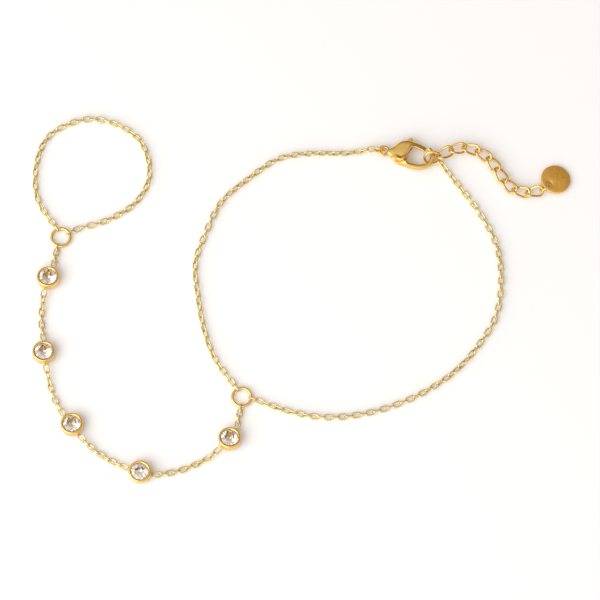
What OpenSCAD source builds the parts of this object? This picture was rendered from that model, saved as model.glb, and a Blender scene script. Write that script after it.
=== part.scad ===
// Hand chain bracelet, laid out flat: a finger loop, a chain of five bezel-set
// stones over the back of the hand, and a wrist chain with a lobster clasp, an
// extender chain and a bare round tag. Millimetres, +Z up, resting on z = 0.

/* [Fine chain] */
// Wire thickness of a fine link
link_wire = 0.2; // [0.16:0.01:0.22]
// Inside length of a fine link
link_inside_l = 1.34; // [1.24:0.01:1.5]
// Inside width of a fine link
link_inside_w = 0.7; // [0.66:0.01:0.8]
// Free play between two pieces that are hooked together
hook_gap = 0.13; // [0.11:0.01:0.14]
// Slow twist of a chain, in degrees from one link to the next
chain_sway = 6; // [0:1:8]

/* [Junction rings] */
// Outside diameter of the two rings where the chains meet
ring_d = 3.6; // [3.2:0.1:4.4]
// Wire thickness of the two junction rings
ring_wire = 0.45; // [0.35:0.01:0.46]

/* [Bezels and stones] */
// Diameter of a stone at its girdle
stone_d = 3; // [2.6:0.1:3.6]
// Diameter of a stone's table as a share of its own
table_share = 0.56; // [0.5:0.01:0.62]
// Slope of a stone's crown, in degrees
crown_angle = 34; // [28:1:38]
// Slope of a stone's pavilion, in degrees
pavilion_angle = 39; // [36:1:42]
// Thickness of a stone's girdle
girdle_t = 0.08; // [0.05:0.01:0.15]
// Wall of a bezel beside its stone
bezel_wall = 0.34; // [0.28:0.01:0.5]
// How far the rim is burnished in over the girdle
rim_lap = 0.1; // [0.06:0.01:0.16]
// Closed floor under a stone
bezel_floor = 0.25; // [0.2:0.01:0.5]
// Rounding of a bezel's lower edge
bezel_round = 0.45; // [0.2:0.05:0.6]
// Air between a stone and its bezel
stone_gap = 0.04; // [0.03:0.01:0.06]
// Wire thickness of the loops soldered to a bezel
staple_wire = 0.2; // [0.16:0.01:0.26]
// Height of those loops above the bezel's back
staple_z = 0.7; // [0.65:0.05:0.9]

/* [Clasp] */
// Length of the clasp from its eye's centre to the far end of the hook
clasp_len = 9; // [8:0.1:11]
// Width of the clasp across its body
clasp_w = 4.9; // [4.4:0.1:5.6]
// Thickness of the clasp's body
clasp_t = 2.2; // [2.1:0.1:2.8]
// Outside diameter of the clasp's eye
eye_d = 2; // [1.9:0.1:2.4]
// Wire thickness of the clasp's eye
eye_wire = 0.5; // [0.4:0.05:0.6]
// Thickness of the lever
lever_t = 0.66; // [0.5:0.02:0.8]
// Width of the lever's arm
lever_w = 0.8; // [0.6:0.05:0.9]
// Diameter of the lever's pin
pin_d = 0.5; // [0.4:0.05:0.6]
// Ring of metal around the pin's bore
boss_wall = 0.35; // [0.25:0.05:0.4]
// Diameter of the thumb nub
nub_d = 1; // [0.8:0.05:1.2]
// Running clearance around the lever and its pin
lever_gap = 0.1; // [0.08:0.01:0.12]

/* [Clasp rings] */
// Wire thickness of the ring between the clasp's eye and the chain
jump_wire = 0.3; // [0.25:0.01:0.35]
// Outside diameter of the ring that the clasp is hooked into
end_ring_d = 3.2; // [3.1:0.05:3.3]
// Wire thickness of that ring
end_ring_wire = 0.42; // [0.35:0.01:0.44]
// Lean of that ring from the table, in degrees
end_ring_lean = 58; // [54:1:62]
// Turn of that ring from the clasp's length, in degrees
end_ring_turn = 10; // [0:1:20]

/* [Extender and tag] */
// Wire thickness of an extender link
ext_wire = 0.42; // [0.36:0.01:0.46]
// Inside length of an extender link
ext_inside_l = 2.7; // [2.6:0.02:2.8]
// Inside width of an extender link
ext_inside_w = 1.4; // [1.3:0.02:1.6]
// Twist of an extender link from end to end, in degrees
ext_twist = 70; // [64:1:76]
// Diameter of the tag
tag_d = 5.1; // [4.6:0.1:6]
// Thickness of the tag
tag_t = 0.5; // [0.4:0.05:0.6]
// Diameter of the tag's hole
tag_hole_d = 1; // [0.9:0.05:1.2]
// Metal between the tag's hole and its edge
tag_margin = 0.6; // [0.5:0.05:0.7]
// Lean of the tag towards its free edge, in degrees
tag_lean = 9; // [8:1:12]
// Wire thickness of the tag's ring
tag_ring_wire = 0.28; // [0.24:0.01:0.3]
// Lean of that ring from the table, in degrees
tag_ring_lean = 115; // [108:1:118]

/* [Hidden] */
$fn = 48;
radian = 180 / PI;
// Air under a piece that its neighbours hold just off the table
table_gap = 0.02;
// How far the knuckle of a twisted link stands out of its wire
knuckle = 0.02;
// How far a cutting shape reaches past what it cuts
over = 1;
// Steps of a chain's smooth line between two points of its route
route_steps = 10;
// Links over which a chain turns and comes down from its hook to the table
settle_links = 4;
drop_links = 3;
// Steepest roll of an extender link past half of its twist, in degrees
extender_roll = 13;
// Hook gaps that the clasp's ring leaves round the eye's wire and the link's
jump_gaps = 6;
// Height of a bezel's rim above the stone's edge, as a share of its rounding
rim_share = 0.6;
// Radius at which the lower facets of a stone meet, as a share of its own
lower_share = 0.3;
// Middle of the layout below, which is brought to the origin
layout_middle = [1.06, -0.08];

// Where the pieces lie, chosen by hand as round numbers
finger_ring_at = [-40, 10.5];
wrist_ring_at = [-9, -17.5];
// A row for each stone: x, y, lean away from the viewer, bearing of the loop
// that comes first along the chain, bearing of the second one
STONE_AT = [
    [-42, 3, 8, 70, 255],
    [-42.5, -10, 6, 92, 280],
    [-37.5, -22.5, 6, 130, 305],
    [-26, -30.5, 0, 162, 350],
    [-11, -25, 8, 224, 60]
];
clasp_at = [15.2, 25.8];
clasp_yaw = -11.4;
tag_at = [44.6, 20.8];
tag_yaw = 39;
// Bearings at which the chains' end links hang on the rings
finger_from = 115;
finger_to = 30;
hand_from = 250;
hand_to = 265;
left_to = 120;
right_from = -8;
right_to = -30;
extender_from = 25;
// Points that each chain passes between its two ends
FINGER_ROUTE = [
    [-44, 17], [-44.5, 23], [-42.5, 28.5], [-37, 31.5], [-31.5, 31],
    [-26.5, 27.5], [-25, 21.5], [-27.5, 16.5], [-32.5, 13.4], [-36.6, 12.2]
];
HAND_ROUTES = [
    [],
    [[-43, -2], [-43, -5]],
    [[-41.5, -15], [-40.5, -18]],
    [[-34, -26.5], [-31, -28.5]],
    [[-20.5, -30.5], [-17.5, -29.5], [-14.5, -28]],
    []
];
LEFT_ROUTE = [
    [8.5, 25.5], [2.5, 25.5], [-3, 24.5], [-8, 21], [-12.5, 17],
    [-15, 12], [-17, 6], [-16.5, 0], [-15.5, -5.5], [-13.5, -11]
];
RIGHT_ROUTE = [
    [-1, -20], [5, -21], [11, -20.5], [16.5, -19], [22, -16.5], [27, -13],
    [31, -8.5], [34, -3.5], [35, 2.5], [34.5, 8.5], [32, 14], [28.5, 19]
];
EXTENDER_ROUTE = [[28, 26.3], [31, 26], [33.3, 24.5], [35, 22], [36.5, 19.5], [39, 18.3]];

// Sizes that follow from the ones above
link_w = link_inside_w + 2 * link_wire;
chain_z = link_w / 2;
ext_z = (ext_inside_w + ext_wire) / 2 * sin(ext_twist / 2 + extender_roll) + ext_wire / 2 + table_gap;
ring_r = (ring_d - ring_wire) / 2;
end_ring_r = (end_ring_d - end_ring_wire) / 2;

stone_r = stone_d / 2;
table_r = stone_r * table_share;
crown_h = (stone_r - table_r) * tan(crown_angle);
pavilion_h = stone_r * tan(pavilion_angle);
bezel_r = stone_r + stone_gap + bezel_wall;
rim_open_r = stone_r - rim_lap;
rim_round = (bezel_r - rim_open_r) / 2;
girdle_z = bezel_floor + stone_gap + pavilion_h;
rim_under_z = girdle_z + girdle_t + stone_gap;
rim_lap_h = (stone_r + stone_gap - rim_open_r) * tan(crown_angle);
bezel_h = rim_under_z + rim_lap_h + rim_share * rim_round;
staple_r = bezel_r + link_wire + 2 * hook_gap + staple_wire / 2;
staple_rise = link_wire / 2 + 2 * hook_gap + staple_wire / 2;

clasp_z = clasp_t / 2 + table_gap;
slot_t = lever_t + 2 * lever_gap;
bore_d = pin_d + 2 * lever_gap;
boss_d = bore_d + 2 * boss_wall;
jump_inside = eye_wire + link_wire + jump_gaps * hook_gap;
jump_r = (jump_inside + jump_wire) / 2;
tag_ring_inside = (tag_hole_d - tag_ring_wire) / 2 + tag_margin + ext_wire + 2 * hook_gap;
tag_ring_r = (tag_ring_inside + tag_ring_wire) / 2;
hole_from_centre = tag_d / 2 - tag_margin - tag_hole_d / 2;
tag_z = tag_d / 2 * sin(tag_lean) + tag_t / 2 * cos(tag_lean);
tag_ring_z = tag_ring_r * sin(tag_ring_lean) + tag_ring_wire / 2 + table_gap;

// The clasp's plan as shares of clasp_len and clasp_w, and its thickness as a
// share of clasp_t. Columns: outer x, outer y, inner x, inner y, thickness.
// The inner points run up the body, round the lip and along the hook's inside.
CLASP_ROWS = [
    [0.08, -0.09, 0.08, 0.09, 0.34],
    [0.15, -0.17, 0.15, 0.2, 0.55],
    [0.2, -0.23, 0.26, 0.4, 0.82],
    [0.25, -0.29, 0.4, 0.505, 1],
    [0.29, -0.32, 0.545, 0.49, 1],
    [0.35, -0.36, 0.505, 0.31, 1],
    [0.41, -0.39, 0.47, 0.1, 0.98],
    [0.46, -0.42, 0.45, -0.1, 0.9],
    [0.53, -0.445, 0.49, -0.225, 0.72],
    [0.62, -0.455, 0.6, -0.26, 0.58],
    [0.72, -0.44, 0.7, -0.25, 0.5],
    [0.83, -0.37, 0.79, -0.2, 0.46],
    [0.93, -0.23, 0.86, -0.1, 0.44],
    [0.99, -0.02, 0.885, 0.03, 0.44],
    [0.985, 0.17, 0.875, 0.16, 0.44],
    [0.935, 0.34, 0.84, 0.27, 0.44],
    [0.865, 0.44, 0.8, 0.335, 0.38]
];
section_sides = 20;
section_steps = 3;
section_power = 2.5;
pin_h = 0.8 * clasp_t;
pivot_at = [0.36 * clasp_len, 0.25 * clasp_w];
slot_from = [pivot_at.x - boss_d / 2 - lever_gap, pivot_at.y - boss_d / 2 - lever_gap];
slot_to_x = 0.62 * clasp_len;
// The lever's arm is a band of a large circle that follows the clasp's back
arm_r = 0.66 * clasp_len;
arm_at = [0.51 * clasp_len, 0.51 * clasp_w - arm_r];
arm_from = 101;
arm_to = 64;
// Its end face is an arc about the pin, so that it swings past the hook's tip
tip_row = CLASP_ROWS[len(CLASP_ROWS) - 1];
hook_tip = [tip_row[2] * clasp_len, tip_row[3] * clasp_w];
arm_reach = norm(hook_tip - pivot_at) - lever_gap;
nub_at = [0.46 * clasp_len, 0.53 * clasp_w];

// Vectors and curves

function unit(v) = v / norm(v);
function bearing(a) = [cos(a), sin(a), 0];
function turned(v, a) = [v.x * cos(a) - v.y * sin(a), v.x * sin(a) + v.y * cos(a), v.z];
function leaned(v, a) = [v.x, v.y * cos(a) + v.z * sin(a), v.z * cos(a) - v.y * sin(a)];

// Catmull-Rom point between b and c
function between(a, b, c, d, t) =
    b + (c - a) * t / 2 + (a - 2.5 * b + 2 * c - d / 2) * t * t + (1.5 * (b - c) + (d - a) / 2) * t * t * t;

// A smooth line through all the given points
function smoothed(p, steps) =
    let (last = len(p) - 1)
    let (q = concat([2 * p[0] - p[1]], p, [2 * p[last] - p[last - 1]]))
    concat([for (i = [1:last], k = [0:steps - 1])
        between(q[i - 1], q[i], q[i + 1], q[i + 2], k / steps)], [p[last]]);

// Distance along a line at each of its points
function distances(p) = [
    for (i = 0, s = 0; i < len(p); s = s + (i + 1 < len(p) ? norm(p[i + 1] - p[i]) : 0), i = i + 1) s
];

// Point at distance s along a line
function along(p, d, s) = [
    for (axis = [0:2]) lookup(s, [for (i = [0:len(p) - 1]) [d[i], p[i][axis]]])
];

// Angle brought to between -90 and 90, because a link looks the same half a turn on
function half_turn(a) = a - 180 * round(a / 180);

// Chains. A hook is [point on the wire, direction of the wire, thickness of the wire].

// Roll of a link that hangs on a wire, when the link points along dir
function hook_roll(dir, wire_dir) =
    let (side = unit([-dir.y, dir.x, 0]))
    let (rise = cross(dir, side))
    atan2(-(wire_dir * side), wire_dir * rise);

// How far past the hooked wire's centre a link's own wire lies
function reach(hook, wire) = hook[2] / 2 + wire / 2 + hook_gap;

// Share of a drop that is left after u of its length, level at both ends
function fall(u) = u >= 1 ? 0 : (1 - u) * (1 - u) * (1 + 2 * u);

// One side of a link, from end to end
module strand(straight, offset, rise, wire) {
    translate([-straight / 2, offset, -rise])
        rotate([0, 90 - atan2(2 * rise, straight), 0])
        cylinder(d = wire, h = norm([straight, 2 * rise]));
    if (rise != 0)
        for (side = [-1, 1])
            translate([side * straight / 2, offset, side * rise]) sphere(d = wire + knuckle);
}

// An oval link of round wire along X, its two ends turned apart by the twist
module link(inside_l, inside_w, wire, twist) {
    straight = inside_l - inside_w;
    bend_r = (inside_w + wire) / 2;
    for (side = [-1, 1]) {
        translate([side * straight / 2, 0, 0])
            rotate([side * twist / 2, 0, 0])
            rotate([0, 0, -side * 90])
            rotate_extrude(angle = 180)
            translate([bend_r, 0]) circle(d = wire);
        strand(straight, side * bend_r * cos(twist / 2), side * bend_r * sin(twist / 2), wire);
    }
}

// Links hooked to each other from one hook to another, by way of a route on the
// table. Each link is turned from the one before it by the twist and the turn.
module chain(start, route, finish, rest_z, inside_l, inside_w, wire, twist, turn, sway) {
    plan = smoothed(concat([[start[0].x, start[0].y]], route, [[finish[0].x, finish[0].y]]), route_steps);
    plan_d = distances(plan);
    drop = drop_links * inside_l;
    line = [for (i = [0:len(plan) - 1]) [plan[i].x, plan[i].y, rest_z
        + (start[0].z - rest_z) * fall(plan_d[i] / drop)
        + (finish[0].z - rest_z) * fall((plan_d[len(plan) - 1] - plan_d[i]) / drop)]];
    d = distances(line);
    total = d[len(d) - 1];
    half = (inside_l + wire) / 2;
    first = half - reach(start, wire);
    last = total - half + reach(finish, wire);
    count = ceil((last - first) / (inside_l - hook_gap));
    pitch = (last - first) / count;
    first_dir = unit(along(line, d, first + pitch / 2) - start[0]);
    last_dir = unit(finish[0] - along(line, d, last - pitch / 2));
    roll_0 = hook_roll(first_dir, start[1]) + twist / 2;
    roll_1 = hook_roll(last_dir, finish[1]) - twist / 2;
    rest = half_turn(roll_1 - roll_0 - turn * count);
    settle = min(count, settle_links);
    for (i = [0:count]) {
        roll = roll_0 + turn * i + rest * min(1, i / settle)
            + sway * count / 360 * sin(360 * i / count) * radian;
        a = along(line, d, first + (i - 0.5) * pitch);
        b = along(line, d, first + (i + 0.5) * pitch);
        dir = i == 0 ? first_dir : i == count ? last_dir : unit(b - a);
        at = i == 0 ? start[0] + first * dir
            : i == count ? finish[0] - (total - last) * dir : (a + b) / 2;
        translate(at)
            rotate([0, -asin(dir.z), atan2(dir.y, dir.x)])
            rotate([roll, 0, 0])
            link(inside_l, inside_w, wire, twist);
    }
}

module fine_chain(start, route, finish) {
    color("khaki")
        chain(start, route, finish, chain_z, link_inside_l, link_inside_w, link_wire, 0, 90, chain_sway);
}

module ring(r, wire) {
    rotate_extrude() translate([r, 0]) circle(d = wire);
}

// Hook on a flat junction ring, at a bearing from its centre
function ring_hook(at, a) = [
    [at.x, at.y, chain_z] + ring_r * bearing(a), bearing(a + 90), ring_wire
];

module junction_ring(at) {
    color("gold") translate([at.x, at.y, chain_z]) ring(ring_r, ring_wire);
}

// Bezels and stones

// Height that a leaning bezel is lifted by, so that its rounded edge stays on z = 0
function lift(lean) = (bezel_r - bezel_round) * sin(lean) + bezel_round * (1 - cos(lean));

// A point of the upright bezel i brought to its place
function on_bezel(i, v) =
    leaned(v, STONE_AT[i][2]) + [STONE_AT[i].x, STONE_AT[i].y, lift(STONE_AT[i][2])];

// Hook on bezel i's first or second loop
function bezel_hook(i, second) = [
    on_bezel(i, staple_r * bearing(STONE_AT[i][3 + second]) + [0, 0, staple_z]),
    leaned([0, 0, 1], STONE_AT[i][2]), staple_wire
];

module at_bezel(i) {
    translate(on_bezel(i, [0, 0, 0])) rotate([-STONE_AT[i][2], 0, 0]) children();
}

// Loop of wire that stands on a bezel's wall, its legs ending inside the wall
module staple(a) {
    leg_from = bezel_r - bezel_wall / 2;
    bend_x = staple_r - staple_rise;
    rotate([0, 0, a]) translate([0, 0, staple_z]) {
        translate([bend_x, 0, 0])
            rotate([90, 0, 0])
            rotate([0, 0, -90])
            rotate_extrude(angle = 180)
            translate([staple_rise, 0]) circle(d = staple_wire);
        for (side = [-1, 1])
            translate([leg_from, 0, side * staple_rise])
                rotate([0, 90, 0])
                cylinder(d = staple_wire, h = bend_x - leg_from);
    }
}

module cup() {
    pocket_r = stone_r + stone_gap;
    rotate_extrude() difference() {
        union() {
            square([bezel_r - bezel_round, bezel_h - rim_round]);
            translate([0, bezel_round]) square([bezel_r, bezel_h - rim_round - bezel_round]);
            intersection() {
                translate([bezel_r - bezel_round, bezel_round]) circle(r = bezel_round);
                square([bezel_r, bezel_h]);
            }
            translate([rim_open_r, bezel_h - 2 * rim_round]) square([rim_round, rim_round]);
            translate([bezel_r - rim_round, bezel_h - rim_round]) circle(r = rim_round);
        }
        polygon([
            [-over, bezel_floor], [pocket_r, bezel_floor], [pocket_r, rim_under_z],
            [rim_open_r, rim_under_z + rim_lap_h], [rim_open_r, bezel_h + over],
            [-over, bezel_h + over]
        ]);
    }
}

module bezel(i) {
    color("goldenrod") at_bezel(i) {
        cup();
        for (second = [0, 1]) staple(STONE_AT[i][3 + second]);
    }
}

// Ring of points of a cut stone: n points at radius r and height z, turned by a
function stone_ring(n, r, z, a) = [for (k = [0:n - 1]) r * bearing(a + 360 * k / n) + [0, 0, z]];

// Round brilliant: a table, star, kite and girdle facets above, mains and halves below
module stone(i) {
    kite_r = (stone_r + table_r) / 2;
    kite_z = girdle_z + girdle_t + (stone_r - kite_r * cos(22.5)) * tan(crown_angle);
    low_r = lower_share * stone_r;
    points = concat(
        stone_ring(8, table_r, girdle_z + girdle_t + crown_h, 0),
        stone_ring(8, kite_r, kite_z, 22.5),
        stone_ring(16, stone_r, girdle_z + girdle_t, 0),
        stone_ring(16, stone_r, girdle_z, 0),
        stone_ring(8, low_r, girdle_z - pavilion_h * (1 - low_r / stone_r), 22.5),
        [[0, 0, girdle_z - pavilion_h]]);
    table = [for (k = [7:-1:0]) k];
    faces = concat([table], [for (k = [0:7])
        let (n = (k + 1) % 8, a = 2 * k, b = 2 * k + 1, c = (2 * k + 2) % 16)
        each [
            [k, n, 8 + k],
            [16 + a, k, 8 + k], [16 + a, 8 + k, 16 + b],
            [16 + b, 8 + k, 16 + c], [16 + c, 8 + k, n],
            [32 + a, 16 + a, 16 + b, 32 + b], [32 + b, 16 + b, 16 + c, 32 + c],
            [32 + a, 32 + b, 48 + k], [32 + b, 32 + c, 48 + k],
            [32 + c, 48 + n, 48 + k], [48 + k, 48 + n, 56]
        ]]);
    color("whitesmoke") at_bezel(i) polyhedron(points, faces, convexity = 2);
}

// Clasp, modelled along +X from its eye's centre, flat in XY about z = 0

module at_clasp() {
    translate([clasp_at.x, clasp_at.y, clasp_z]) rotate([0, 0, clasp_yaw]) children();
}

// A point of the clasp brought to its place
function on_clasp(v) = turned(v, clasp_yaw) + [clasp_at.x, clasp_at.y, clasp_z];

// One rounded section of the body between its outer and inner points
function clasp_section(row) =
    let (outer = [row[0] * clasp_len, row[1] * clasp_w, 0])
    let (inner = [row[2] * clasp_len, row[3] * clasp_w, 0])
    let (middle = (outer + inner) / 2, half = (outer - inner) / 2, rise = row[4] * clasp_t / 2)
    [for (k = [0:section_sides - 1])
        let (c = cos(360 * k / section_sides), s = sin(360 * k / section_sides))
        middle + half * sign(c) * pow(abs(c), 2 / section_power)
            + [0, 0, rise * sign(s) * pow(abs(s), 2 / section_power)]];

module clasp_form() {
    rows = smoothed(CLASP_ROWS, section_steps);
    n = section_sides;
    m = len(rows);
    points = [for (row = rows) each clasp_section(row)];
    polyhedron(points, concat(
        [[for (k = [n - 1:-1:0]) k]],
        [for (j = [0:m - 2], k = [0:n - 1])
            let (a = j * n + k, b = j * n + (k + 1) % n)
            each [[a, b + n, a + n], [a, b, b + n]]],
        [[for (k = [0:n - 1]) (m - 1) * n + k]]), convexity = 6);
}

module clasp_body() {
    color("goldenrod") at_clasp() {
        ring((eye_d - eye_wire) / 2, eye_wire);
        difference() {
            clasp_form();
            translate([slot_from.x, slot_from.y, -slot_t / 2])
                cube([slot_to_x - slot_from.x, clasp_w, slot_t]);
        }
        translate([pivot_at.x, pivot_at.y, -pin_h / 2]) cylinder(d = pin_d, h = pin_h);
    }
}

module clasp_lever() {
    color("gold") at_clasp() translate([0, 0, -lever_t / 2]) linear_extrude(lever_t)
        difference() {
            union() {
                translate(pivot_at) circle(d = boss_d);
                intersection() {
                    difference() {
                        translate(arm_at) circle(r = arm_r, $fn = 120);
                        translate(arm_at) circle(r = arm_r - lever_w, $fn = 120);
                    }
                    translate(arm_at)
                        polygon([[0, 0], 2 * arm_r * [cos(arm_from), sin(arm_from)],
                            2 * arm_r * [cos(arm_to), sin(arm_to)]]);
                    translate(pivot_at) circle(r = arm_reach, $fn = 120);
                }
                translate(nub_at) circle(d = nub_d);
            }
            translate(pivot_at) circle(d = bore_d);
        }
}

// Rings of the clasp

module clasp_ring() {
    color("gold") at_clasp() translate([-jump_r, 0, 0]) rotate([90, 0, 0]) ring(jump_r, jump_wire);
}

clasp_ring_hook = [on_clasp([-2 * jump_r, 0, 0]), [0, 0, 1], jump_wire];

// The leaning ring lies round the hook's far bend, from under it to over it
hook_bend = [0.94 * clasp_len, 0.065 * clasp_w, 0];
end_ring_at = on_clasp(hook_bend)
    + [0, 0, end_ring_r * sin(end_ring_lean) + end_ring_wire / 2 + table_gap - clasp_z];

function on_end_ring(a) =
    turned([cos(a), sin(a) * cos(end_ring_lean), sin(a) * sin(end_ring_lean)],
        clasp_yaw + end_ring_turn);

function end_ring_hook(a) = [
    end_ring_at + end_ring_r * on_end_ring(a), on_end_ring(a + 90), end_ring_wire
];

module end_ring() {
    color("gold") translate(end_ring_at)
        rotate([0, 0, clasp_yaw + end_ring_turn])
        rotate([end_ring_lean, 0, 0])
        ring(end_ring_r, end_ring_wire);
}

// Tag, modelled flat about its centre with its hole towards -X

module at_tag() {
    translate([tag_at.x, tag_at.y, tag_z]) rotate([0, 0, tag_yaw]) rotate([0, tag_lean, 0]) children();
}

tag_ring_at = [tag_at.x, tag_at.y, tag_ring_z]
    - (hole_from_centre * cos(tag_lean) + tag_ring_r) * bearing(tag_yaw);
tag_ring_hook = [
    tag_ring_at - tag_ring_r * bearing(tag_yaw),
    turned([0, cos(tag_ring_lean), sin(tag_ring_lean)], tag_yaw), tag_ring_wire
];

module tag() {
    color("goldenrod") at_tag() difference() {
        translate([0, 0, -tag_t / 2]) cylinder(d = tag_d, h = tag_t, $fn = 96);
        translate([-hole_from_centre, 0, -tag_t]) cylinder(d = tag_hole_d, h = 2 * tag_t);
    }
}

module tag_ring() {
    color("gold") translate(tag_ring_at)
        rotate([0, 0, tag_yaw])
        rotate([tag_ring_lean, 0, 0])
        ring(tag_ring_r, tag_ring_wire);
}

// Chains between their hooks

module hand_chain(i) {
    fine_chain(
        i == 0 ? ring_hook(finger_ring_at, hand_from) : bezel_hook(i - 1, 1),
        HAND_ROUTES[i],
        i == 5 ? ring_hook(wrist_ring_at, hand_to) : bezel_hook(i, 0));
}

module extender_chain() {
    color("goldenrod")
        chain(end_ring_hook(extender_from), EXTENDER_ROUTE, tag_ring_hook, ext_z,
            ext_inside_l, ext_inside_w, ext_wire, ext_twist, 0, 0);
}

translate([-layout_middle.x, -layout_middle.y, 0]) {
    fine_chain(ring_hook(finger_ring_at, finger_from), FINGER_ROUTE,  // finger_chain
            ring_hook(finger_ring_at, finger_to));
    junction_ring(finger_ring_at);  // finger_ring
    hand_chain(0);  // hand_chain_1
    hand_chain(1);  // hand_chain_2
    hand_chain(2);  // hand_chain_3
    hand_chain(3);  // hand_chain_4
    hand_chain(4);  // hand_chain_5
    hand_chain(5);  // hand_chain_6
    bezel(0);  // bezel_1
    bezel(1);  // bezel_2
    bezel(2);  // bezel_3
    bezel(3);  // bezel_4
    bezel(4);  // bezel_5
    stone(0);  // stone_1
    stone(1);  // stone_2
    stone(2);  // stone_3
    stone(3);  // stone_4
    stone(4);  // stone_5
    junction_ring(wrist_ring_at);  // wrist_ring
    fine_chain(clasp_ring_hook, LEFT_ROUTE, ring_hook(wrist_ring_at, left_to));  // wrist_chain_left
    fine_chain(ring_hook(wrist_ring_at, right_from), RIGHT_ROUTE, end_ring_hook(right_to));  // wrist_chain_right
    clasp_ring();
    clasp_body();
    clasp_lever();
    end_ring();
    extender_chain();
    tag_ring();
    tag();
}
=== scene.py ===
"""Hand chain bracelet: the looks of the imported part, laid out as a Blender add-on.

Pieces are modelled in millimetres, each about a point of its own, and then brought to their
place in the frame, which is in metres with +Z up and the bracelet lying on z = 0.
"""

import math

import bmesh
import bpy
import numpy as np
from bpy.props import FloatProperty, FloatVectorProperty, PointerProperty
from mathutils import Matrix, Vector


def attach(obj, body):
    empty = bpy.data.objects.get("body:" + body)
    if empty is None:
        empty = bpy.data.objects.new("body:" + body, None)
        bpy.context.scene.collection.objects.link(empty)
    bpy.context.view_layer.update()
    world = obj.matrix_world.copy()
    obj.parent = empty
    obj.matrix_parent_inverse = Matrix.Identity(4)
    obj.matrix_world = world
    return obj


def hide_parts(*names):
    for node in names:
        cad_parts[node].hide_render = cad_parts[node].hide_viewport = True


bl_info = {
    "name": "Hand Chain Bracelet",
    "version": (1, 0, 0),
    "blender": (4, 5, 0),
    "location": "3D View > Sidebar > Bracelet",
    "description": "Dresses a hand chain bracelet: chains, bezels, stones, clasp, extender and tag",
    "category": "Object",
}

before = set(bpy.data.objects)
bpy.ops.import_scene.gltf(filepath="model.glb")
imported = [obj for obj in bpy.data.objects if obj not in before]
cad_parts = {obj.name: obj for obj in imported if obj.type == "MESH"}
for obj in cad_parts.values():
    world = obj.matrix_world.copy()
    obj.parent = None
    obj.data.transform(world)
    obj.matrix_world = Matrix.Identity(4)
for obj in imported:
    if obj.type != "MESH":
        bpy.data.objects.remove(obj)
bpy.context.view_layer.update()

MM = 0.001

# Place of each bezel, in millimetres and degrees: x, y, lean away from the viewer,
# and the bearings of its two loops along the chain.
BEZEL_PLACES = (
    (-43.06, 3.08, 8, 70, 255),
    (-43.56, -9.92, 6, 92, 280),
    (-38.56, -22.42, 6, 130, 305),
    (-27.06, -30.42, 0, 162, 350),
    (-12.06, -24.92, 8, 224, 60),
)

# Place of the clasp's eye and of the tag's middle, and their turn on the table.
CLASP_PLACE = (14.14, 25.88, 1.12)
CLASP_TURN = -11.4
TAG_PLACE = (43.54, 20.88)
TAG_TURN = 39

# The clasp's plan from its eye to the hook's tip, as shares of its length and width, with its
# thickness as a share of the whole: outer x, outer y, inner x, inner y, thickness.
CLASP_ROWS = (
    (0.08, -0.09, 0.08, 0.09, 0.34),
    (0.15, -0.18, 0.15, 0.2, 0.55),
    (0.2, -0.265, 0.26, 0.4, 0.82),
    (0.25, -0.33, 0.4, 0.505, 1),
    (0.29, -0.36, 0.555, 0.49, 1),
    (0.35, -0.39, 0.51, 0.31, 1),
    (0.41, -0.41, 0.475, 0.1, 0.98),
    (0.46, -0.42, 0.45, -0.1, 0.9),
    (0.53, -0.445, 0.49, -0.225, 0.72),
    (0.62, -0.455, 0.6, -0.26, 0.58),
    (0.72, -0.44, 0.7, -0.25, 0.5),
    (0.83, -0.37, 0.79, -0.2, 0.46),
    (0.93, -0.23, 0.86, -0.1, 0.44),
    (0.99, -0.02, 0.885, 0.03, 0.44),
    (0.985, 0.17, 0.875, 0.16, 0.44),
    (0.935, 0.34, 0.84, 0.27, 0.44),
    (0.865, 0.44, 0.8, 0.335, 0.38),
)

# The crest of the lip that runs down the dome's curved edge and round under its end, in
# millimetres on the clasp's plan.
LIP_LINE = (
    (5.3, 2.6),
    (4.95, 2),
    (4.45, 1.25),
    (4.18, 0.45),
    (4.03, -0.3),
    (3.8, -0.87),
    (3.36, -1.28),
    (2.7, -1.3),
    (2.1, -1),
    (1.5, -0.6),
)

FINE_CHAINS = (
    "finger_chain",
    "hand_chain_1",
    "hand_chain_2",
    "hand_chain_3",
    "hand_chain_4",
    "hand_chain_5",
    "hand_chain_6",
    "wrist_chain_left",
    "wrist_chain_right",
)

# Each plain ring with the thickness of its wire in millimetres.
PLAIN_RINGS = (
    ("finger_ring", 0.5),
    ("wrist_ring", 0.5),
    ("clasp_ring", 0.36),
    ("end_ring", 0.42),
    ("tag_ring", 0.33),
)

# The twist of an extender link in two parts: each part's share, and the stretch of the link,
# from end to end, that takes it.
EXTENDER_TWISTS = ((0.4, (0, 1)), (0.6, (0.22, 0.78)))

# Height of a bezel's rim above its mouth as a share of its bead's radius, and the width in
# millimetres of the slant between the pocket's wall and floor.
RIM_RISE = 0.6
POCKET_CHAMFER = 0.25

# The solder on the two legs of a bezel's loop: how far each section lies beyond the cup's wall,
# in millimetres, and its thickness in widths of the wire. The last value is that of the root.
LOWER_LEG = ((-0.03, 1.9), (0.05, 1.292), (0.12, 1.0336))
UPPER_LEG = ((0.12, 1), (0.05, 1.0336), (-0.03, 1.292))
LOOP_FLARE = 1.9

# Turn of each stone against the one before it, in degrees.
STONE_TURN = 17

# Slopes of a stone's small facets as shares of the main facets' slopes, and the angle in degrees
# between the middle of a lower half facet and its corners on the girdle.
STAR_SLOPE = 0.66
UPPER_HALF_SLOPE = 1.2
LOWER_HALF_SLOPE = 1.06
LOWER_HALF_SPREAD = 9

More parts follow.
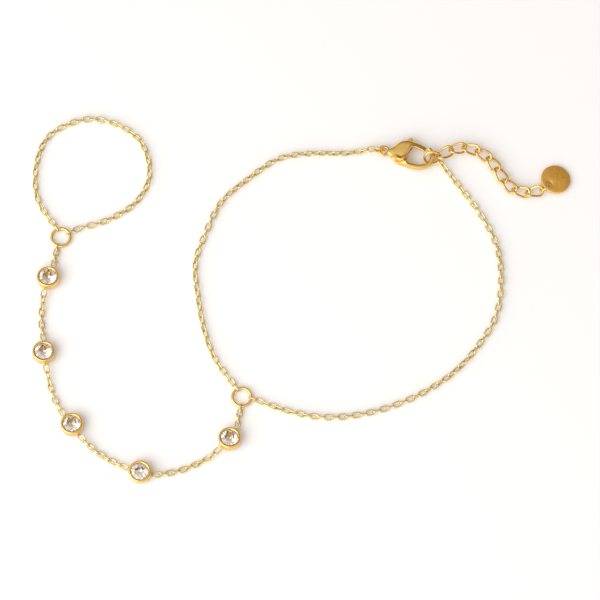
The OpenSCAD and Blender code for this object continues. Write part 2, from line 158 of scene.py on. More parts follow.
# Exponents of the clasp's oval sections: the usual one, and a squarer one for the inner side
# where the body is thick. The change is spread between two shares of the whole thickness and
# between two shares of the way from a section's middle to its inner side.
ROUND_SECTION = 2.5
SQUARE_SECTION = 5
SQUARE_THICKNESS = (0.7, 0.95)
SQUARE_SIDE = (0, 0.3)

# Shares of the lip line over which the lip grows to its full height and at last fades out.
LIP_GROWS = (0.35, 0.65)
LIP_FADES = (0.75, 1)

# In millimetres: reach of the lip outside its crest, reach inside it before and after it has
# grown, distance of the groove outside the crest, the groove's reach to each side, and the
# height above the clasp's middle plane from which lip and groove have their full relief.
LIP_OUTSIDE = 0.2
LIP_INSIDE = (0.4, 0.75)
GROOVE_DISTANCE = 0.22
GROOVE_REACH = 0.17
RELIEF_RISE = 0.5

# Shares of the clasp's length and width: the lever's pivot, the middle of its nub and the
# highest point of its arm. Shares of the length: the slot's far end and the radius of the arm's
# outer edge. Share of the thickness: the pin's length.
LEVER_PIVOT = (0.36, 0.25)
NUB_MIDDLE = (0.46, 0.53)
ARM_CROWN = (0.51, 0.51)
SLOT_END = 0.62
ARM_RADIUS = 0.66
PIN_SHARE = 0.8

# Bearing at which the lever's arm starts and the angle that it sweeps, in degrees.
ARM_START = 101
ARM_SWEEP = 37

# Metal round the lever's bore, and rounding of the lever's and the tag's edges, in millimetres.
BOSS_WALL = 0.35
LEVER_ROUNDING = 0.1
TAG_ROUNDING = 0.12

# Tint of the clouds in a stone, as shares of its red, green and blue.
CLOUD_TINT = (0.93, 0.87, 0.93)

# Direction that the room's light is brightest in, and the light's colours from the opposite
# direction, at 0, to that one, at 1.
ROOM_BRIGHTEST = (-0.55, -0.6, 0.58)
ROOM_COLOURS = (
    (0.4, (0.28, 0.2, 0.13)),
    (0.7, (0.72, 0.67, 0.6)),
    (0.9, (1, 1, 1)),
)

# Place and width of the key light, in metres.
KEY_LIGHT_PLACE = (-0.28, -0.22, 0.3)
KEY_LIGHT_WIDTH = 0.45

# Middle of the view and width of the camera's sensor, in millimetres, and the picture's width
# in pixels.
VIEW_MIDDLE = (-0.26, -0.32, 0)
SENSOR = 36
PICTURE = 600


# Settings that a user can change


def length_setting(name, default, description):
    """A length, with its default in millimetres."""
    return FloatProperty(name=name, description=description, default=default * MM, unit="LENGTH")


def angle_setting(name, default, description):
    """An angle, with its default in degrees."""
    turned = math.radians(default)
    return FloatProperty(name=name, description=description, default=turned, unit="ROTATION")


def share_setting(name, default, description, low=0, high=1):
    """A share between two limits."""
    return FloatProperty(
        name=name, description=description, default=default, subtype="FACTOR", min=low, max=high
    )


def colour_setting(name, default, description):
    """A colour, with the shares of red, green and blue in its default."""
    return FloatVectorProperty(
        name=name, description=description, default=default, subtype="COLOR", min=0, max=1
    )


class ChainSizes(bpy.types.PropertyGroup):
    """Sizes of the fine links and of the extender's twisted links"""

    fine_wire: length_setting("Fine Wire", 0.26, "Thickness of a fine link's wire")
    fine_length: length_setting("Fine Inside Length", 1.22, "Inside length of a fine link")
    fine_width: length_setting("Fine Inside Width", 0.58, "Inside width of a fine link")
    extender_wire: length_setting("Extender Wire", 0.44, "Thickness of an extender link's wire")
    extender_length: length_setting(
        "Extender Inside Length", 2.54, "Inside length of an extender link"
    )
    extender_width: length_setting(
        "Extender Inside Width", 1.24, "Inside width of an extender link"
    )
    extender_twist: angle_setting("Extender Twist", 70, "Twist of an extender link from end to end")


class StoneSizes(bpy.types.PropertyGroup):
    """Sizes of a stone and of the bezel that holds it"""

    diameter: length_setting("Stone Diameter", 3, "Width of a stone at its girdle")
    table_share: share_setting(
        "Table", 0.56, "Width of the table as a share of the stone's", low=0.4, high=0.7
    )
    crown_angle: angle_setting("Crown Angle", 34, "Slope of the crown's main facets")
    pavilion_angle: angle_setting("Pavilion Angle", 39, "Slope of the pavilion's main facets")
    girdle: length_setting("Girdle", 0.08, "Thickness of the girdle")
    play: length_setting("Play", 0.04, "Air between a stone and its bezel")
    wall: length_setting("Bezel Wall", 0.34, "Thickness of the bezel beside the stone")
    floor: length_setting("Bezel Floor", 0.25, "Thickness of the closed floor under the stone")
    lap: length_setting("Rim Lap", 0.1, "How far the rim is burnished in over the stone")
    rounding: length_setting("Edge Rounding", 0.45, "Rounding of the bezel's lower edge")
    loop_wire: length_setting("Loop Wire", 0.24, "Thickness of the loops soldered to a bezel")
    loop_height: length_setting("Loop Height", 0.7, "Height of the loops above the bezel's back")
    loop_reach: length_setting(
        "Loop Reach", 2.44, "Distance of a loop's outer wire from the stone's axis"
    )
    loop_rise: length_setting("Loop Rise", 0.46, "Half of the height between a loop's two legs")


class ClaspSizes(bpy.types.PropertyGroup):
    """Sizes of the lobster clasp and its lever"""

    length: length_setting("Length", 9, "From the eye's middle to the far end of the hook")
    width: length_setting("Width", 4.9, "Width that the plan's shares are taken of")
    thickness: length_setting("Thickness", 2.2, "Thickness of the body at its highest")
    eye: length_setting("Eye Diameter", 2, "Outside diameter of the eye")
    eye_wire: length_setting("Eye Wire", 0.5, "Thickness of the eye's wire")
    groove: length_setting(
        "Groove Depth", 0.35, "Depth of the groove that parts the dome's lip from the spine"
    )
    lip: length_setting(
        "Lip Height", 0.45, "How far the lip stands proud of the dome at its lower bend"
    )
    lip_start: share_setting(
        "Lip Start", 0.45, "Height of the lip at its upper end as a share of the height at its bend"
    )
    lever: length_setting("Lever Thickness", 0.66, "Thickness of the lever")
    arm: length_setting("Arm Width", 0.8, "Width of the lever's arm")
    taper: share_setting(
        "Arm Taper", 0.3, "Thickness of the arm's outer edge as a share of its inner edge's", low=0.1
    )
    nub: length_setting("Nub Diameter", 1, "Diameter of the thumb nub on the lever")
    pin: length_setting("Pin Diameter", 0.5, "Diameter of the lever's pin")
    play: length_setting("Play", 0.1, "Running clearance round the lever and its pin")


class TagSizes(bpy.types.PropertyGroup):
    """Sizes of the bare round tag"""

    diameter: length_setting("Diameter", 5.1, "Diameter of the tag")
    thickness: length_setting("Thickness", 0.5, "Thickness of the tag")
    hole: length_setting("Hole", 1, "Diameter of the tag's hole")
    margin: length_setting("Margin", 0.6, "Metal between the hole and the tag's edge")
    lean: angle_setting("Lean", 9, "Lean of the tag towards its free edge")


class Finishes(bpy.types.PropertyGroup):
    """Colours and gloss of the metals and the stones"""

    pale_gold: colour_setting("Pale Gold", (0.82, 0.655, 0.28), "Colour of the fine chains")
    polished_gold: colour_setting(
        "Polished Gold", (0.86, 0.575, 0.19), "Colour of the clasp, rings, bezels and extender"
    )
    satin_gold: colour_setting("Satin Gold", (0.97, 0.56, 0.13), "Colour of the tag")
    stone: colour_setting("Stone", (0.84, 0.79, 0.71), "Tint of the clear stones")
    polish: share_setting("Polish", 0.16, "Roughness of the polished and pale gold")
    satin: share_setting("Satin", 0.42, "Roughness of the tag")


class StageSettings(bpy.types.PropertyGroup):
    """Floor, light and camera"""

    elevation: angle_setting("Elevation", 75, "Height of the camera above the horizon")
    pixel: FloatProperty(
        name="Pixel",
        description="Size on the object of one of the picture's 600 pixels",
        default=0.17 * MM,
        unit="LENGTH",
        precision=6,
    )
    lens: FloatProperty(
        name="Lens",
        description="Focal length in millimetres, on a 36 mm sensor",
        default=200,
        min=20,
    )
    key_power: FloatProperty(
        name="Key Light",
        description="Power of the large softbox at the front left",
        default=1.4,
        unit="POWER",
    )
    sky: FloatProperty(
        name="Room Light",
        description="Strength of the light that comes from all round",
        default=1.1,
        min=0,
    )
    floor: colour_setting("Floor", (0.955, 0.965, 0.99), "Colour of the floor")


class BraceletSettings(bpy.types.PropertyGroup):
    """All settings of the bracelet"""

    chains: PointerProperty(type=ChainSizes, name="Chains", description="Sizes of the links")
    stones: PointerProperty(type=StoneSizes, name="Stones", description="Sizes of stones and bezels")
    clasp: PointerProperty(type=ClaspSizes, name="Clasp", description="Sizes of the clasp")
    tag: PointerProperty(type=TagSizes, name="Tag", description="Sizes of the tag")
    finishes: PointerProperty(type=Finishes, name="Finishes", description="Colours and gloss")
    stage: PointerProperty(type=StageSettings, name="Stage", description="Floor, light, camera")


# Modelling helpers


def clear_selection():
    """Leaves edit mode and deselects everything."""
    if bpy.context.mode != "OBJECT":
        bpy.ops.object.mode_set(mode="OBJECT")
    bpy.ops.object.select_all(action="DESELECT")


def work_on(obj):
    """Makes obj the only selected and active object."""
    clear_selection()
    obj.select_set(True)
    bpy.context.view_layer.objects.active = obj


def edit(obj):
    """Opens obj in edit mode with all of it selected."""
    work_on(obj)
    bpy.ops.object.mode_set(mode="EDIT")
    bpy.ops.mesh.select_all(action="SELECT")


def pick(obj, test):
    """In edit mode, selects the vertices whose place passes the test."""
    bpy.ops.mesh.select_mode(type="VERT")
    bpy.ops.mesh.select_all(action="DESELECT")
    shape = bmesh.from_edit_mesh(obj.data)
    for vertex in shape.verts:
        vertex.select = test(vertex.co)
    shape.select_flush_mode()
    bmesh.update_edit_mesh(obj.data)


def added(name):
    """Names the primitive that was just added and returns it."""
    obj = bpy.context.active_object
    obj.name = name
    obj.data.name = name
    return obj


def set_in_mesh():
    """Moves the selected objects' place, turn and size into their meshes."""
    bpy.ops.object.transform_apply(location=True, rotation=True, scale=True)


def draw_on(x, y=0, z=0):
    """Extrudes what is selected by one step."""
    bpy.ops.mesh.extrude_region_move(TRANSFORM_OT_translate={"value": (x, y, z)})


def use(obj, kind, **settings):
    """Adds a modifier to obj, sets it and applies it."""
    work_on(obj)
    modifier = obj.modifiers.new(kind.title(), kind)
    for key, value in settings.items():
        setattr(modifier, key, value)
    bpy.ops.object.modifier_apply(modifier=modifier.name)


def soften(obj, width, segments, angle=30):
    """Rounds the edges of obj whose faces meet at more than an angle in degrees."""
    use(
        obj,
        "BEVEL",
        width=width,
        segments=segments,
        limit_method="ANGLE",
        angle_limit=math.radians(angle),
    )


def cut(obj, tool, operation="DIFFERENCE"):
    """Cuts, joins or trims obj with another object, which is used up."""
    use(obj, "BOOLEAN", operation=operation, object=tool, solver="EXACT")
    bpy.data.objects.remove(tool)


def weld(obj, apart=0.0001):
    """Merges doubles and points all faces outwards."""
    edit(obj)
    bpy.ops.mesh.remove_doubles(threshold=apart)
    bpy.ops.mesh.normals_make_consistent(inside=False)
    bpy.ops.object.mode_set(mode="OBJECT")


def close_ends(obj):
    """Fills every open end of obj's mesh."""
    edit(obj)
    bpy.ops.mesh.select_mode(type="EDGE")
    bpy.ops.mesh.select_all(action="DESELECT")
    bpy.ops.mesh.select_non_manifold(extend=False)
    bpy.ops.mesh.fill_holes(sides=0)
    weld(obj)


def copied(obj, name, place):
    """A copy of obj with its own mesh, set at a place in millimetres."""
    twin = obj.copy()
    twin.data = obj.data.copy()
    twin.name = name
    bpy.context.scene.collection.objects.link(twin)
    twin.matrix_world = place
    return twin


def seat(obj, place=Matrix.Identity(4)):
    """Brings a piece modelled in millimetres to its place in the frame, in metres."""
    obj.matrix_world = Matrix.Scale(MM, 4) @ place @ obj.matrix_world
    work_on(obj)
    set_in_mesh()
    return obj


def dress(obj, slot, nodes, angle=40, body="bracelet"):
    """Gives a seated piece its finish and its body, and hides the CAD nodes that it stands for."""
    work_on(obj)
    obj.data.materials.clear()
    obj.data.materials.append(finish_of(slot))
    bpy.ops.object.shade_smooth_by_angle(angle=math.radians(angle))
    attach(obj, body)
    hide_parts(*nodes)


def turn(degrees, axis):
    """Rotation matrix for an angle in degrees."""
    return Matrix.Rotation(math.radians(degrees), 4, axis)


def lathe(name, profile, steps):
    """Turns a profile of (radius, height) points round Z."""
    clear_selection()
    bpy.ops.mesh.primitive_plane_add(size=0.1)
    obj = added(name)
    edit(obj)
    bpy.ops.mesh.merge(type="CENTER")
    bpy.ops.transform.translate(value=(profile[0][0], 0, profile[0][1]))
    for (r0, z0), (r1, z1) in zip(profile, profile[1:]):
        draw_on(r1 - r0, 0, z1 - z0)
    bpy.ops.mesh.select_all(action="SELECT")
    bpy.ops.mesh.spin(steps=steps, angle=2 * math.pi, center=(0, 0, 0), axis=(0, 0, 1))
    weld(obj)
    return obj


def arc(centre, radius, start, end, steps):
    """Points of an arc, from one angle to another in degrees."""
    angles = [math.radians(start + (end - start) * i / steps) for i in range(steps + 1)]
    return [(centre[0] + radius * math.cos(a), centre[1] + radius * math.sin(a)) for a in angles]


def disc(name, radius, thickness, at, sides=64):
    """A cylinder along Z about z = 0."""
    clear_selection()
    bpy.ops.mesh.primitive_cylinder_add(
        vertices=sides, radius=radius, depth=thickness, location=(at[0], at[1], 0)
    )
    obj = added(name)
    set_in_mesh()
    return obj


def wire_ring(name, radius, wire, around, across):
    """A ring of round wire about Z, whose centre line has the radius."""
    clear_selection()
    bpy.ops.mesh.primitive_torus_add(
        major_radius=radius, minor_radius=wire / 2, major_segments=around, minor_segments=across
    )
    return added(name)


def wire_end(name, wire, at, sides, fill="NOTHING"):
    """A circle across X, in edit mode, from which a round wire is drawn."""
    clear_selection()
    bpy.ops.mesh.primitive_circle_add(
        vertices=sides,
        radius=wire / 2,
        fill_type=fill,
        location=at,
        rotation=(0, math.pi / 2, 0),
    )
    obj = added(name)
    set_in_mesh()
    edit(obj)
    return obj


# Links


def round_link(name, inside_length, inside_width, wire, sides, bend_steps):
    """An oval link of round wire along X, spun round its two bends."""
    straight = inside_length - inside_width
    bend = (inside_width + wire) / 2
    straight_steps = 4
    obj = wire_end(name, wire, (straight / 2, -bend, 0), sides)
    for side in (1, -1):
        bpy.ops.mesh.spin(
            steps=bend_steps, angle=-math.pi, center=(side * straight / 2, 0, 0), axis=(0, 0, 1)
        )
        for _ in range(straight_steps):
            draw_on(-side * straight / straight_steps)
    weld(obj, wire / 100)
    return obj


def link_places(node):
    """Where the links of a CAD chain lie, each as a matrix in millimetres.

    A copy of the node is parted into its links, and each link's own long and wide directions
    are the ones along which its points spread the most.
    """
    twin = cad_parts[node].copy()
    twin.data = twin.data.copy()
    twin.parent = None
    bpy.context.scene.collection.objects.link(twin)
    edit(twin)
    bpy.ops.mesh.remove_doubles(threshold=1e-7)
    bpy.ops.mesh.separate(type="LOOSE")
    bpy.ops.object.mode_set(mode="OBJECT")
    links = list(bpy.context.selected_objects)
    places = []
    for link in links:
        points = np.zeros(len(link.data.vertices) * 3)
        link.data.vertices.foreach_get("co", points)
        points = points.reshape(-1, 3) / MM
        axes = np.linalg.svd(points - points.mean(0), full_matrices=False)[2]
        axes[2] = np.cross(axes[0], axes[1])
        spread = points @ axes.T
        middle = axes.T @ ((spread.min(0) + spread.max(0)) / 2)
        place = Matrix.Identity(4)
        for row in range(3):
            place[row][:3] = axes[:, row]
            place[row][3] = middle[row]
        places.append(place)
        bpy.data.objects.remove(link)
    return places


def chain_of(link, node):
    """Copies of a link at the places of a CAD chain's links, as one piece."""
    copies = [copied(link, f"{node}_{i}", place) for i, place in enumerate(link_places(node))]
    clear_selection()
    for copy in copies:
        copy.select_set(True)
    bpy.context.view_layer.objects.active = copies[0]
    set_in_mesh()
    bpy.ops.object.join()
    return seat(added(node + "_links"))


# Materials


def object_millimetres(nodes, links):
    """Object coordinates, scaled to millimetres."""
    coordinates = nodes.new("ShaderNodeTexCoord")
    mapping = nodes.new("ShaderNodeMapping")
    mapping.inputs["Scale"].default_value = (1 / MM, 1 / MM, 1 / MM)
    links.new(coordinates.outputs["Object"], mapping.inputs["Vector"])
    return mapping.outputs["Vector"]


def noise(nodes, links, vector, scale, detail):
    """Noise with its scale given in features for each millimetre."""
    texture = nodes.new("ShaderNodeTexNoise")
    texture.inputs["Scale"].default_value = scale
    texture.inputs["Detail"].default_value = detail
    links.new(vector, texture.inputs["Vector"])
    return texture.outputs["Fac"]


def between(nodes, links, factor, low, high):
    """A value that goes from low to high as the factor goes from 0.3 to 0.7."""
    spread = nodes.new("ShaderNodeMapRange")
    spread.inputs["From Min"].default_value = 0.3
    spread.inputs["From Max"].default_value = 0.7
    spread.inputs["To Min"].default_value = low
    spread.inputs["To Max"].default_value = high
    links.new(factor, spread.inputs["Value"])
    return spread.outputs["Result"]


def blend(nodes, links, factor, first, second):
    """A colour that goes from the first to the second as the factor goes from 0 to 1."""
    mix = nodes.new("ShaderNodeMix")
    mix.data_type = "RGBA"
    mix.inputs["A"].default_value = (*first, 1)
    mix.inputs["B"].default_value = (*second, 1)
    links.new(factor, mix.inputs["Factor"])
    return mix.outputs["Result"]


def scaled(colour, *shares):
    """A colour times one share, or a share for each channel, held below 1."""
    return [min(1, c * share) for c, share in zip(colour, shares * 3)]


def new_material(name):
    """A new material, with its nodes and links."""
    material = bpy.data.materials.new(name)
    material.use_nodes = True
    return material, material.node_tree.nodes, material.node_tree.links


def gold(name, colour, roughness, grain, depth, patch=0.35, swing=0.06):
    """Gold plating: colour that drifts in patches, uneven polish and fine wear marks."""
    material, nodes, links = new_material(name)
    shader = nodes["Principled BSDF"]
    shader.inputs["Metallic"].default_value = 1
    place = object_millimetres(nodes, links)
    patches = between(nodes, links, noise(nodes, links, place, patch, detail=4), 0, 1)
    drift = blend(nodes, links, patches, scaled(colour, 1 - swing), scaled(colour, 1 + swing))
    links.new(drift, shader.inputs["Base Color"])
    smooth, dull = roughness * 0.75, roughness * 1.3
    uneven = between(nodes, links, noise(nodes, links, place, grain / 3, detail=4), smooth, dull)
    links.new(uneven, shader.inputs["Roughness"])
    bump = nodes.new("ShaderNodeBump")
    bump.inputs["Strength"].default_value = depth
    bump.inputs["Distance"].default_value = 0.01 * MM
    links.new(noise(nodes, links, place, grain, detail=6), bump.inputs["Height"])
    links.new(bump.outputs["Normal"], shader.inputs["Normal"])
    return material


def stone_glass(name, colour):
    """Clear stone with faint clouds in it."""
    material, nodes, links = new_material(name)
    shader = nodes["Principled BSDF"]
    shader.inputs["Roughness"].default_value = 0.02
    shader.inputs["IOR"].default_value = 1.85
    shader.inputs["Transmission Weight"].default_value = 1
    clouds = noise(nodes, links, object_millimetres(nodes, links), scale=0.8, detail=2)
    tint = blend(nodes, links, clouds, scaled(colour, *CLOUD_TINT), colour)
    links.new(tint, shader.inputs["Base Color"])
    return material


def finish_of(slot):
    """The finish for a material slot, made when it is first asked for."""
    name = slot + "_finish"
    found = bpy.data.materials.get(name)
    if found:
        return found
    looks = bpy.context.scene.bracelet.finishes
    if slot == "pale_gold":
        return gold(name, looks.pale_gold, looks.polish, grain=6, depth=0.25)
    if slot == "polished_gold":
        return gold(name, looks.polished_gold, looks.polish, grain=4, depth=0.2)
    if slot == "satin_gold":
        return gold(name, looks.satin_gold, looks.satin, grain=9, depth=0.8, patch=3.5, swing=0.14)
    return stone_glass(name, looks.stone)


# Operators, one for each piece or group of like pieces, with the functions that they use


class BRACELET_OT_fine_chains(bpy.types.Operator):
    """Lay the fine oval links of the finger loop, the hand chains and the wrist chain"""

    bl_idname = "bracelet.fine_chains"
    bl_label = "Fine Chains"

    def execute(self, context):
        sizes = context.scene.bracelet.chains
        link = round_link(
            "fine_link",
            sizes.fine_length / MM,
            sizes.fine_width / MM,
            sizes.fine_wire / MM,
            sides=8,
            bend_steps=8,
        )
        for node in FINE_CHAINS:
            dress(chain_of(link, node), "pale_gold", [node], angle=60)
        bpy.data.objects.remove(link)
        return {"FINISHED"}


class BRACELET_OT_rings(bpy.types.Operator):
    """Bend the junction rings, the clasp's rings and the tag's ring from round wire"""

    bl_idname = "bracelet.rings"
    bl_label = "Rings"

    def execute(self, context):
        for node, wire in PLAIN_RINGS:
            place = link_places(node)[0]
            ring = wire_ring(node + "_wire", ring_radius(node, place), wire, around=72, across=20)
            dress(seat(ring, place), "polished_gold", [node], angle=60)
        return {"FINISHED"}


def ring_radius(node, place):
    """Radius of a CAD ring's centre line, in millimetres, from the distance of its points."""
    points = [vertex.co / MM - place.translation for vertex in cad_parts[node].data.vertices]
    radii = [point.length for point in points]
    return (min(radii) + max(radii)) / 2


class BRACELET_OT_bezels(bpy.types.Operator):
    """Turn the bezel cups, solder their loops on and set them in the chain"""

    bl_idname = "bracelet.bezels"
    bl_label = "Bezels"

    def execute(self, context):
        sizes = context.scene.bracelet.stones
        cup = bezel_cup(sizes)
        loop = bezel_loop(sizes)
        for number, place in enumerate(BEZEL_PLACES, 1):
            name = f"bezel_{number}"
            bezel = copied(cup, name + "_cup", Matrix.Identity(4))
            for bearing in place[3:]:
                cut(bezel, copied(loop, name + "_loop", turn(bearing, "Z")), "UNION")
            seat(bezel, bezel_place(sizes, place))
            dress(bezel, "polished_gold", [name])
        bpy.data.objects.remove(cup)
        bpy.data.objects.remove(loop)
        return {"FINISHED"}


def bezel_radius(sizes):
    """Radius of a bezel's wall on its outside, in millimetres."""
    return (sizes.diameter / 2 + sizes.play + sizes.wall) / MM


def bezel_place(sizes, place):
    """Matrix that leans an upright bezel away from the viewer and sets it on the table."""
    x, y, lean = place[:3]
    rounding = sizes.rounding / MM
    tilt = math.radians(lean)
    lift = (bezel_radius(sizes) - rounding) * math.sin(tilt) + rounding * (1 - math.cos(tilt))
    return Matrix.Translation((x, y, lift)) @ turn(-lean, "X")


def stone_heights(sizes):
    """A stone's radius and the heights of its culet, its girdle's two edges and its table.

    They are in millimetres, and the heights are above the bezel's back.
    """
    radius = sizes.diameter / 2 / MM
    culet = (sizes.floor + sizes.play) / MM
    girdle = culet + radius * math.tan(sizes.pavilion_angle)
    crown = girdle + sizes.girdle / MM
    table = crown + radius * (1 - sizes.table_share) * math.tan(sizes.crown_angle)
    return radius, culet, girdle, crown, table


def bezel_cup(sizes):
    """A round cup with a rounded lower edge and a rim burnished in over the stone."""
    radius, _, _, crown, _ = stone_heights(sizes)
    pocket = radius + sizes.play / MM
    outside = bezel_radius(sizes)
    mouth = radius - sizes.lap / MM
    rounding = sizes.rounding / MM
    floor = sizes.floor / MM
    under = crown + sizes.play / MM
    mouth_low = under + (pocket - mouth) * math.tan(sizes.crown_angle)
    bead = (outside - mouth) / 2
    top = mouth_low + RIM_RISE * bead
    profile = [(0, 0), (outside - rounding, 0)]
    profile += arc((outside - rounding, rounding), rounding, start=-80, end=0, steps=6)
    profile += [(outside, (rounding + top - bead) / 2)]
    profile += arc((outside - bead, top - bead), bead, start=0, end=165, steps=10)
    profile += [(mouth, mouth_low), (pocket, under)]
    profile += [(pocket, floor + POCKET_CHAMFER), (pocket - POCKET_CHAMFER, floor), (0, floor)]
    return lathe("cup", profile, steps=72)


def bezel_loop(sizes):
    """A bent wire whose two legs flare into solder where they meet the cup's wall.

    It is cut into triangles, with which the union with the cup comes out the same in each run.
    """
    outside = bezel_radius(sizes)
    rise = sizes.loop_rise / MM
    bend = sizes.loop_reach / MM - rise
    root = outside - sizes.wall / 2 / MM
    height = sizes.loop_height / MM
    obj = wire_end("loop", sizes.loop_wire / MM, (root, 0, height - rise), sides=12, fill="NGON")
    bpy.ops.transform.resize(
        value=(LOOP_FLARE, LOOP_FLARE, LOOP_FLARE), center_override=(root, 0, height - rise)
    )
    lower = [(outside + gap, share) for gap, share in LOWER_LEG] + [(bend, 1)]
    upper = [(outside + gap, share) for gap, share in UPPER_LEG] + [(root, LOOP_FLARE)]
    draw_leg(lower, root, LOOP_FLARE, height - rise)
    bpy.ops.mesh.spin(steps=10, angle=math.pi, center=(bend, 0, height), axis=(0, -1, 0))
    draw_leg(upper, bend, 1, height + rise)
    weld(obj)
    use(obj, "TRIANGULATE")
    return obj


def draw_leg(sections, reached, thickness, height):
    """Draws a wire along X from one section, at its place and thickness, to the next."""
    for x, share in sections:
        draw_on(x - reached)
        change = share / thickness
        bpy.ops.transform.resize(value=(1, change, change), center_override=(x, 0, height))
        reached, thickness = x, share


class BRACELET_OT_stones(bpy.types.Operator):
    """Cut a round brilliant facet by facet and set a copy in each bezel"""

    bl_idname = "bracelet.stones"
    bl_label = "Stones"

    def execute(self, context):
        sizes = context.scene.bracelet.stones
        stone = brilliant(sizes)
        for number, place in enumerate(BEZEL_PLACES, 1):
            name = f"stone_{number}"
            gem = copied(stone, name + "_brilliant", turn(STONE_TURN * number, "Z"))
            dress(seat(gem, bezel_place(sizes, place)), "clear_stone", [name], angle=1)
        bpy.data.objects.remove(stone)
        return {"FINISHED"}


def brilliant(sizes):
    """A round brilliant cut from a disc: table, stars, mains and halves, and the pavilion."""
    radius, culet, girdle, crown, table = stone_heights(sizes)
    stone = disc("brilliant", radius, table - culet, (0, 0), sides=96)
    stone.location.z = (table + culet) / 2
    set_in_mesh()
    edit(stone)
    above, below = sizes.crown_angle, sizes.pavilion_angle
    apart = 360 / 8
    star_reach = radius * sizes.table_share * math.cos(math.radians(apart / 2))
    upper_reach = radius * math.cos(math.radians(apart / 4))
    lower_reach = radius * math.cos(math.radians(LOWER_HALF_SPREAD))
    for number in range(8):
        middle = apart * number
        between_mains = middle + apart / 2
        grind(radius, crown, middle, above)
        grind(star_reach, table, between_mains, above * STAR_SLOPE)
        grind(radius, girdle, between_mains, below, -1)
        for half in (-apart / 4, apart / 4):
            grind(upper_reach, crown, middle + half, above * UPPER_HALF_SLOPE)
            grind(lower_reach, girdle, between_mains + half, below * LOWER_HALF_SLOPE, -1)
    bpy.ops.object.mode_set(mode="OBJECT")
    weld(stone)
    return stone


def grind(distance, height, bearing, slope, side=1):
    """Grinds one facet, as the plane of a slope through a point at a bearing and height."""
    way = math.radians(bearing)
    flat = math.sin(slope)
    bpy.ops.mesh.select_all(action="SELECT")
    bpy.ops.mesh.bisect(
        plane_co=(distance * math.cos(way), distance * math.sin(way), height),
        plane_no=(math.cos(way) * flat, math.sin(way) * flat, side * math.cos(slope)),
        use_fill=True,
        clear_outer=True,
        threshold=0.00001,
    )


def clasp_point(sizes, x, y):
    """A point of the clasp's plan from its shares of length and width, in millimetres."""
    return Vector((x * sizes.length / MM, y * sizes.width / MM, 0))


def smooth_rows(rows, steps):
    """Rows of numbers with a smooth curve through each column."""
    table = np.array(rows, float)
    padded = np.vstack([2 * table[0] - table[1], table, 2 * table[-1] - table[-2]])
    out = []
    for i in range(1, len(padded) - 2):
        a, b, c, d = padded[i - 1 : i + 3]
        for k in range(steps):
            t = k / steps
            out.append(
                b
                + (c - a) * t / 2
                + (a - 2.5 * b + 2 * c - d / 2) * t**2
                + (1.5 * (b - c) + (d - a) / 2) * t**3
            )
    return np.array([*out, table[-1]])


def hump(value, middle, width):
    """A smooth bump of height 1 about a middle, level with its foot at both ends."""
    x = abs(value - middle) / width
    return 0 if x >= 1 else (1 - x * x) ** 2


def ramp(value, start, end):
    """0 before start and 1 after end, with a smooth rise in between."""
    t = min(1, max(0, (value - start) / (end - start)))
    return t * t * (3 - 2 * t)


def lip_relief(sizes, crest, point):
    """Height of the lip, which swells out of the dome, and of the groove outside it."""
    steps = crest[1:] - crest[:-1]
    lengths = np.linalg.norm(steps, axis=1)
    share = np.einsum("ij,ij->i", point - crest[:-1], steps) / lengths**2
    share = np.clip(share, 0, 1)
    offsets = point - crest[:-1] - steps * share[:, None]
    distances = np.linalg.norm(offsets, axis=1)
    nearest = distances.argmin()
    step, offset = steps[nearest], offsets[nearest]
    inside = math.copysign(distances[nearest], step[1] * offset[0] - step[0] * offset[1])
    along = (nearest + share[nearest]) / len(steps)
    fade = 1 - ramp(along, *LIP_FADES)
    growth = ramp(along, *LIP_GROWS)
    grown = sizes.lip_start + (1 - sizes.lip_start) * growth
    slim, full = LIP_INSIDE
    reach = slim + (full - slim) * growth if inside > 0 else LIP_OUTSIDE
    lip = grown * sizes.lip / MM * hump(inside, 0, reach)
    groove = sizes.groove / MM * hump(inside, -GROOVE_DISTANCE, GROOVE_REACH)
    return fade * (lip - groove)


def clasp_shell(sizes):
    """The body and hook: a grid rolled up into one rounded section after another."""
    rows = smooth_rows(CLASP_ROWS, steps=12)
    crest = smooth_rows(LIP_LINE, steps=24)
    lengthways, around = len(rows) - 1, 200
    half_thick = sizes.thickness / 2 / MM
    clear_selection()
    bpy.ops.mesh.primitive_grid_add(x_subdivisions=lengthways, y_subdivisions=around, size=2)
    shell = added("clasp_shell")
    for vertex in shell.data.vertices:
        row = rows[round((vertex.co.x + 1) / 2 * lengthways)]
        angle = (vertex.co.y + 1) * math.pi
        outer = clasp_point(sizes, row[0], row[1])
        inner = clasp_point(sizes, row[2], row[3])
        c, s = math.cos(angle), math.sin(angle)
        squareness = ramp(row[4], *SQUARE_THICKNESS) * ramp(-c, *SQUARE_SIDE)
        power = 2 / (ROUND_SECTION + (SQUARE_SECTION - ROUND_SECTION) * squareness)
        side = math.copysign(abs(c) ** power, c)
        rise = math.copysign(abs(s) ** power, s) * row[4] * half_thick
        vertex.co = (outer + inner) / 2 + (outer - inner) / 2 * side
        relief = lip_relief(sizes, crest, np.array(vertex.co[:2]))
        height = rise + relief * math.copysign(ramp(abs(rise), 0, RELIEF_RISE), rise)
        vertex.co.z = max(height, -half_thick)
    weld(shell)
    close_ends(shell)
    use(shell, "SMOOTH", factor=0.5, iterations=3)
    return shell


